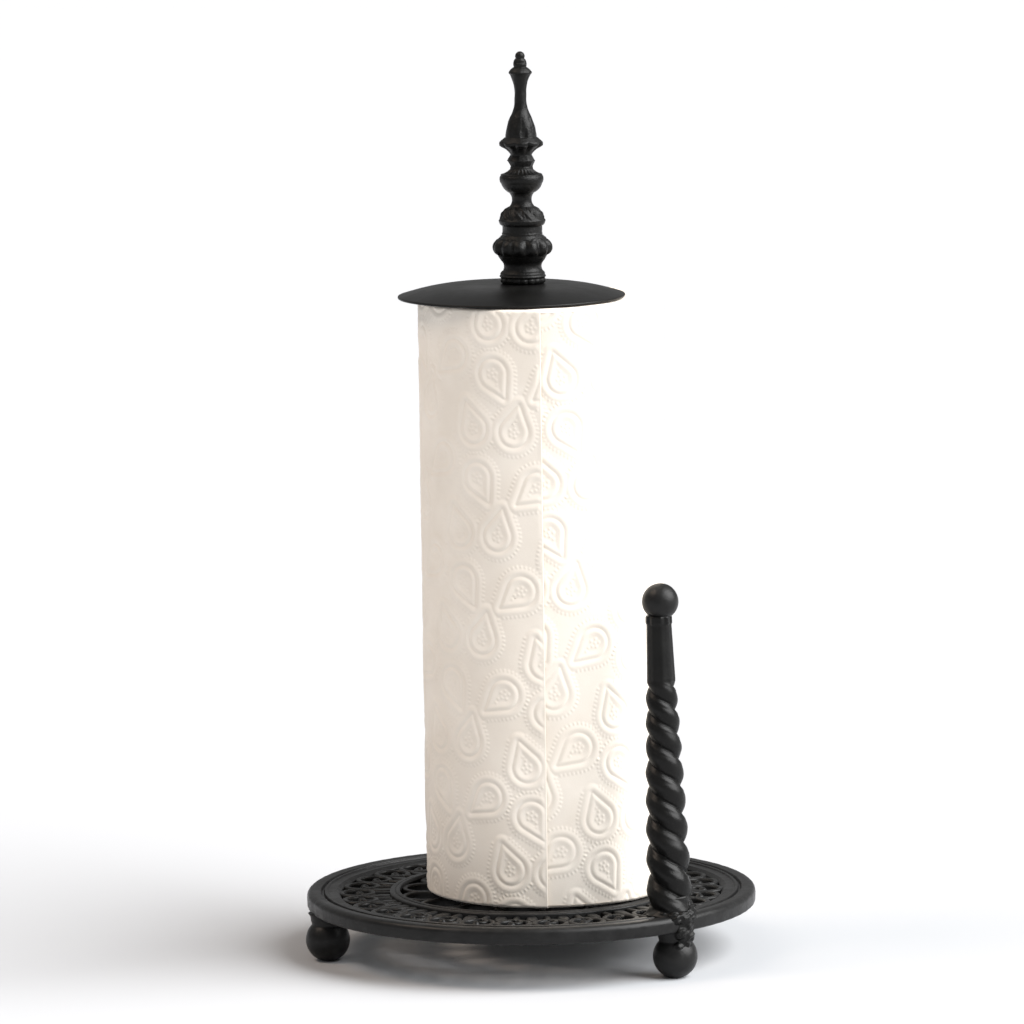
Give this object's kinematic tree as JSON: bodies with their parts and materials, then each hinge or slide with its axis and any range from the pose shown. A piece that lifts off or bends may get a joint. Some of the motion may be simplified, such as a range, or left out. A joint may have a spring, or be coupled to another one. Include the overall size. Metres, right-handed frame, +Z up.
{
  "type": "paper towel holder",
  "caption": "Countertop paper towel stand: openwork cast base on ball feet, upright rod, domed cap under a turned finial, twisted side arm, and a full paper roll.",
  "frame": {"origin": "centre of the round base, on the surface that the feet stand on", "axes": "+Z up along the rod; the side arm stands at the front right, towards +X and -Y; +Y is the back"},
  "size_m": [0.2123, 0.212, 0.4249],
  "materials": {
    "black_cast_iron": "satin",
    "black_painted_steel": "satin",
    "zinc_plated_steel": "satin",
    "embossed_paper": "matte",
    "core_board": "matte"
  },
  "bodies": {
    "stand": {"base_casting": "black_cast_iron", "foot_front_right": "black_cast_iron", "foot_left": "black_cast_iron", "foot_back": "black_cast_iron", "arm_stud": "zinc_plated_steel", "foot_stud_left": "zinc_plated_steel", "foot_stud_back": "zinc_plated_steel", "side_arm": "black_cast_iron", "arm_ball": "black_cast_iron", "arm_ball_stud": "zinc_plated_steel", "center_rod": "black_painted_steel", "base_bolt": "zinc_plated_steel", "base_washer": "zinc_plated_steel", "base_lock_washer": "zinc_plated_steel", "finial_stud": "zinc_plated_steel"},
    "roll": {"paper_core": "core_board", "paper_roll": "embossed_paper"},
    "cap": {"cap_disc": "black_painted_steel", "cap_washer": "zinc_plated_steel"},
    "finial_seat": {"finial_washer": "zinc_plated_steel"},
    "finial": {"finial": "black_cast_iron"}
  },
  "joints": [
    {"name": "roll_spin", "type": "hinge", "parent": "stand", "child": "roll", "pos_m": [0.0076, 0, 0], "axis": [0, 0, 1], "continuous": true},
    {"name": "cap_lift", "type": "slide", "parent": "stand", "child": "cap", "axis": [0, 0, 1], "range_m": [0, 0.1]},
    {"name": "finial_rise", "type": "slide", "parent": "cap", "child": "finial_seat", "axis": [0, 0, 1], "range_m": [0, 0.015]},
    {"name": "finial_turn", "type": "hinge", "parent": "finial_seat", "child": "finial", "pos_m": [0, 0, 0], "axis": [0, 0, 1], "range_deg": [0, 4320]}
  ],
  "couplings": [
    {"joint": "finial_rise", "follows": "finial_turn", "m_per_rad": 0.00019894}
  ]
}
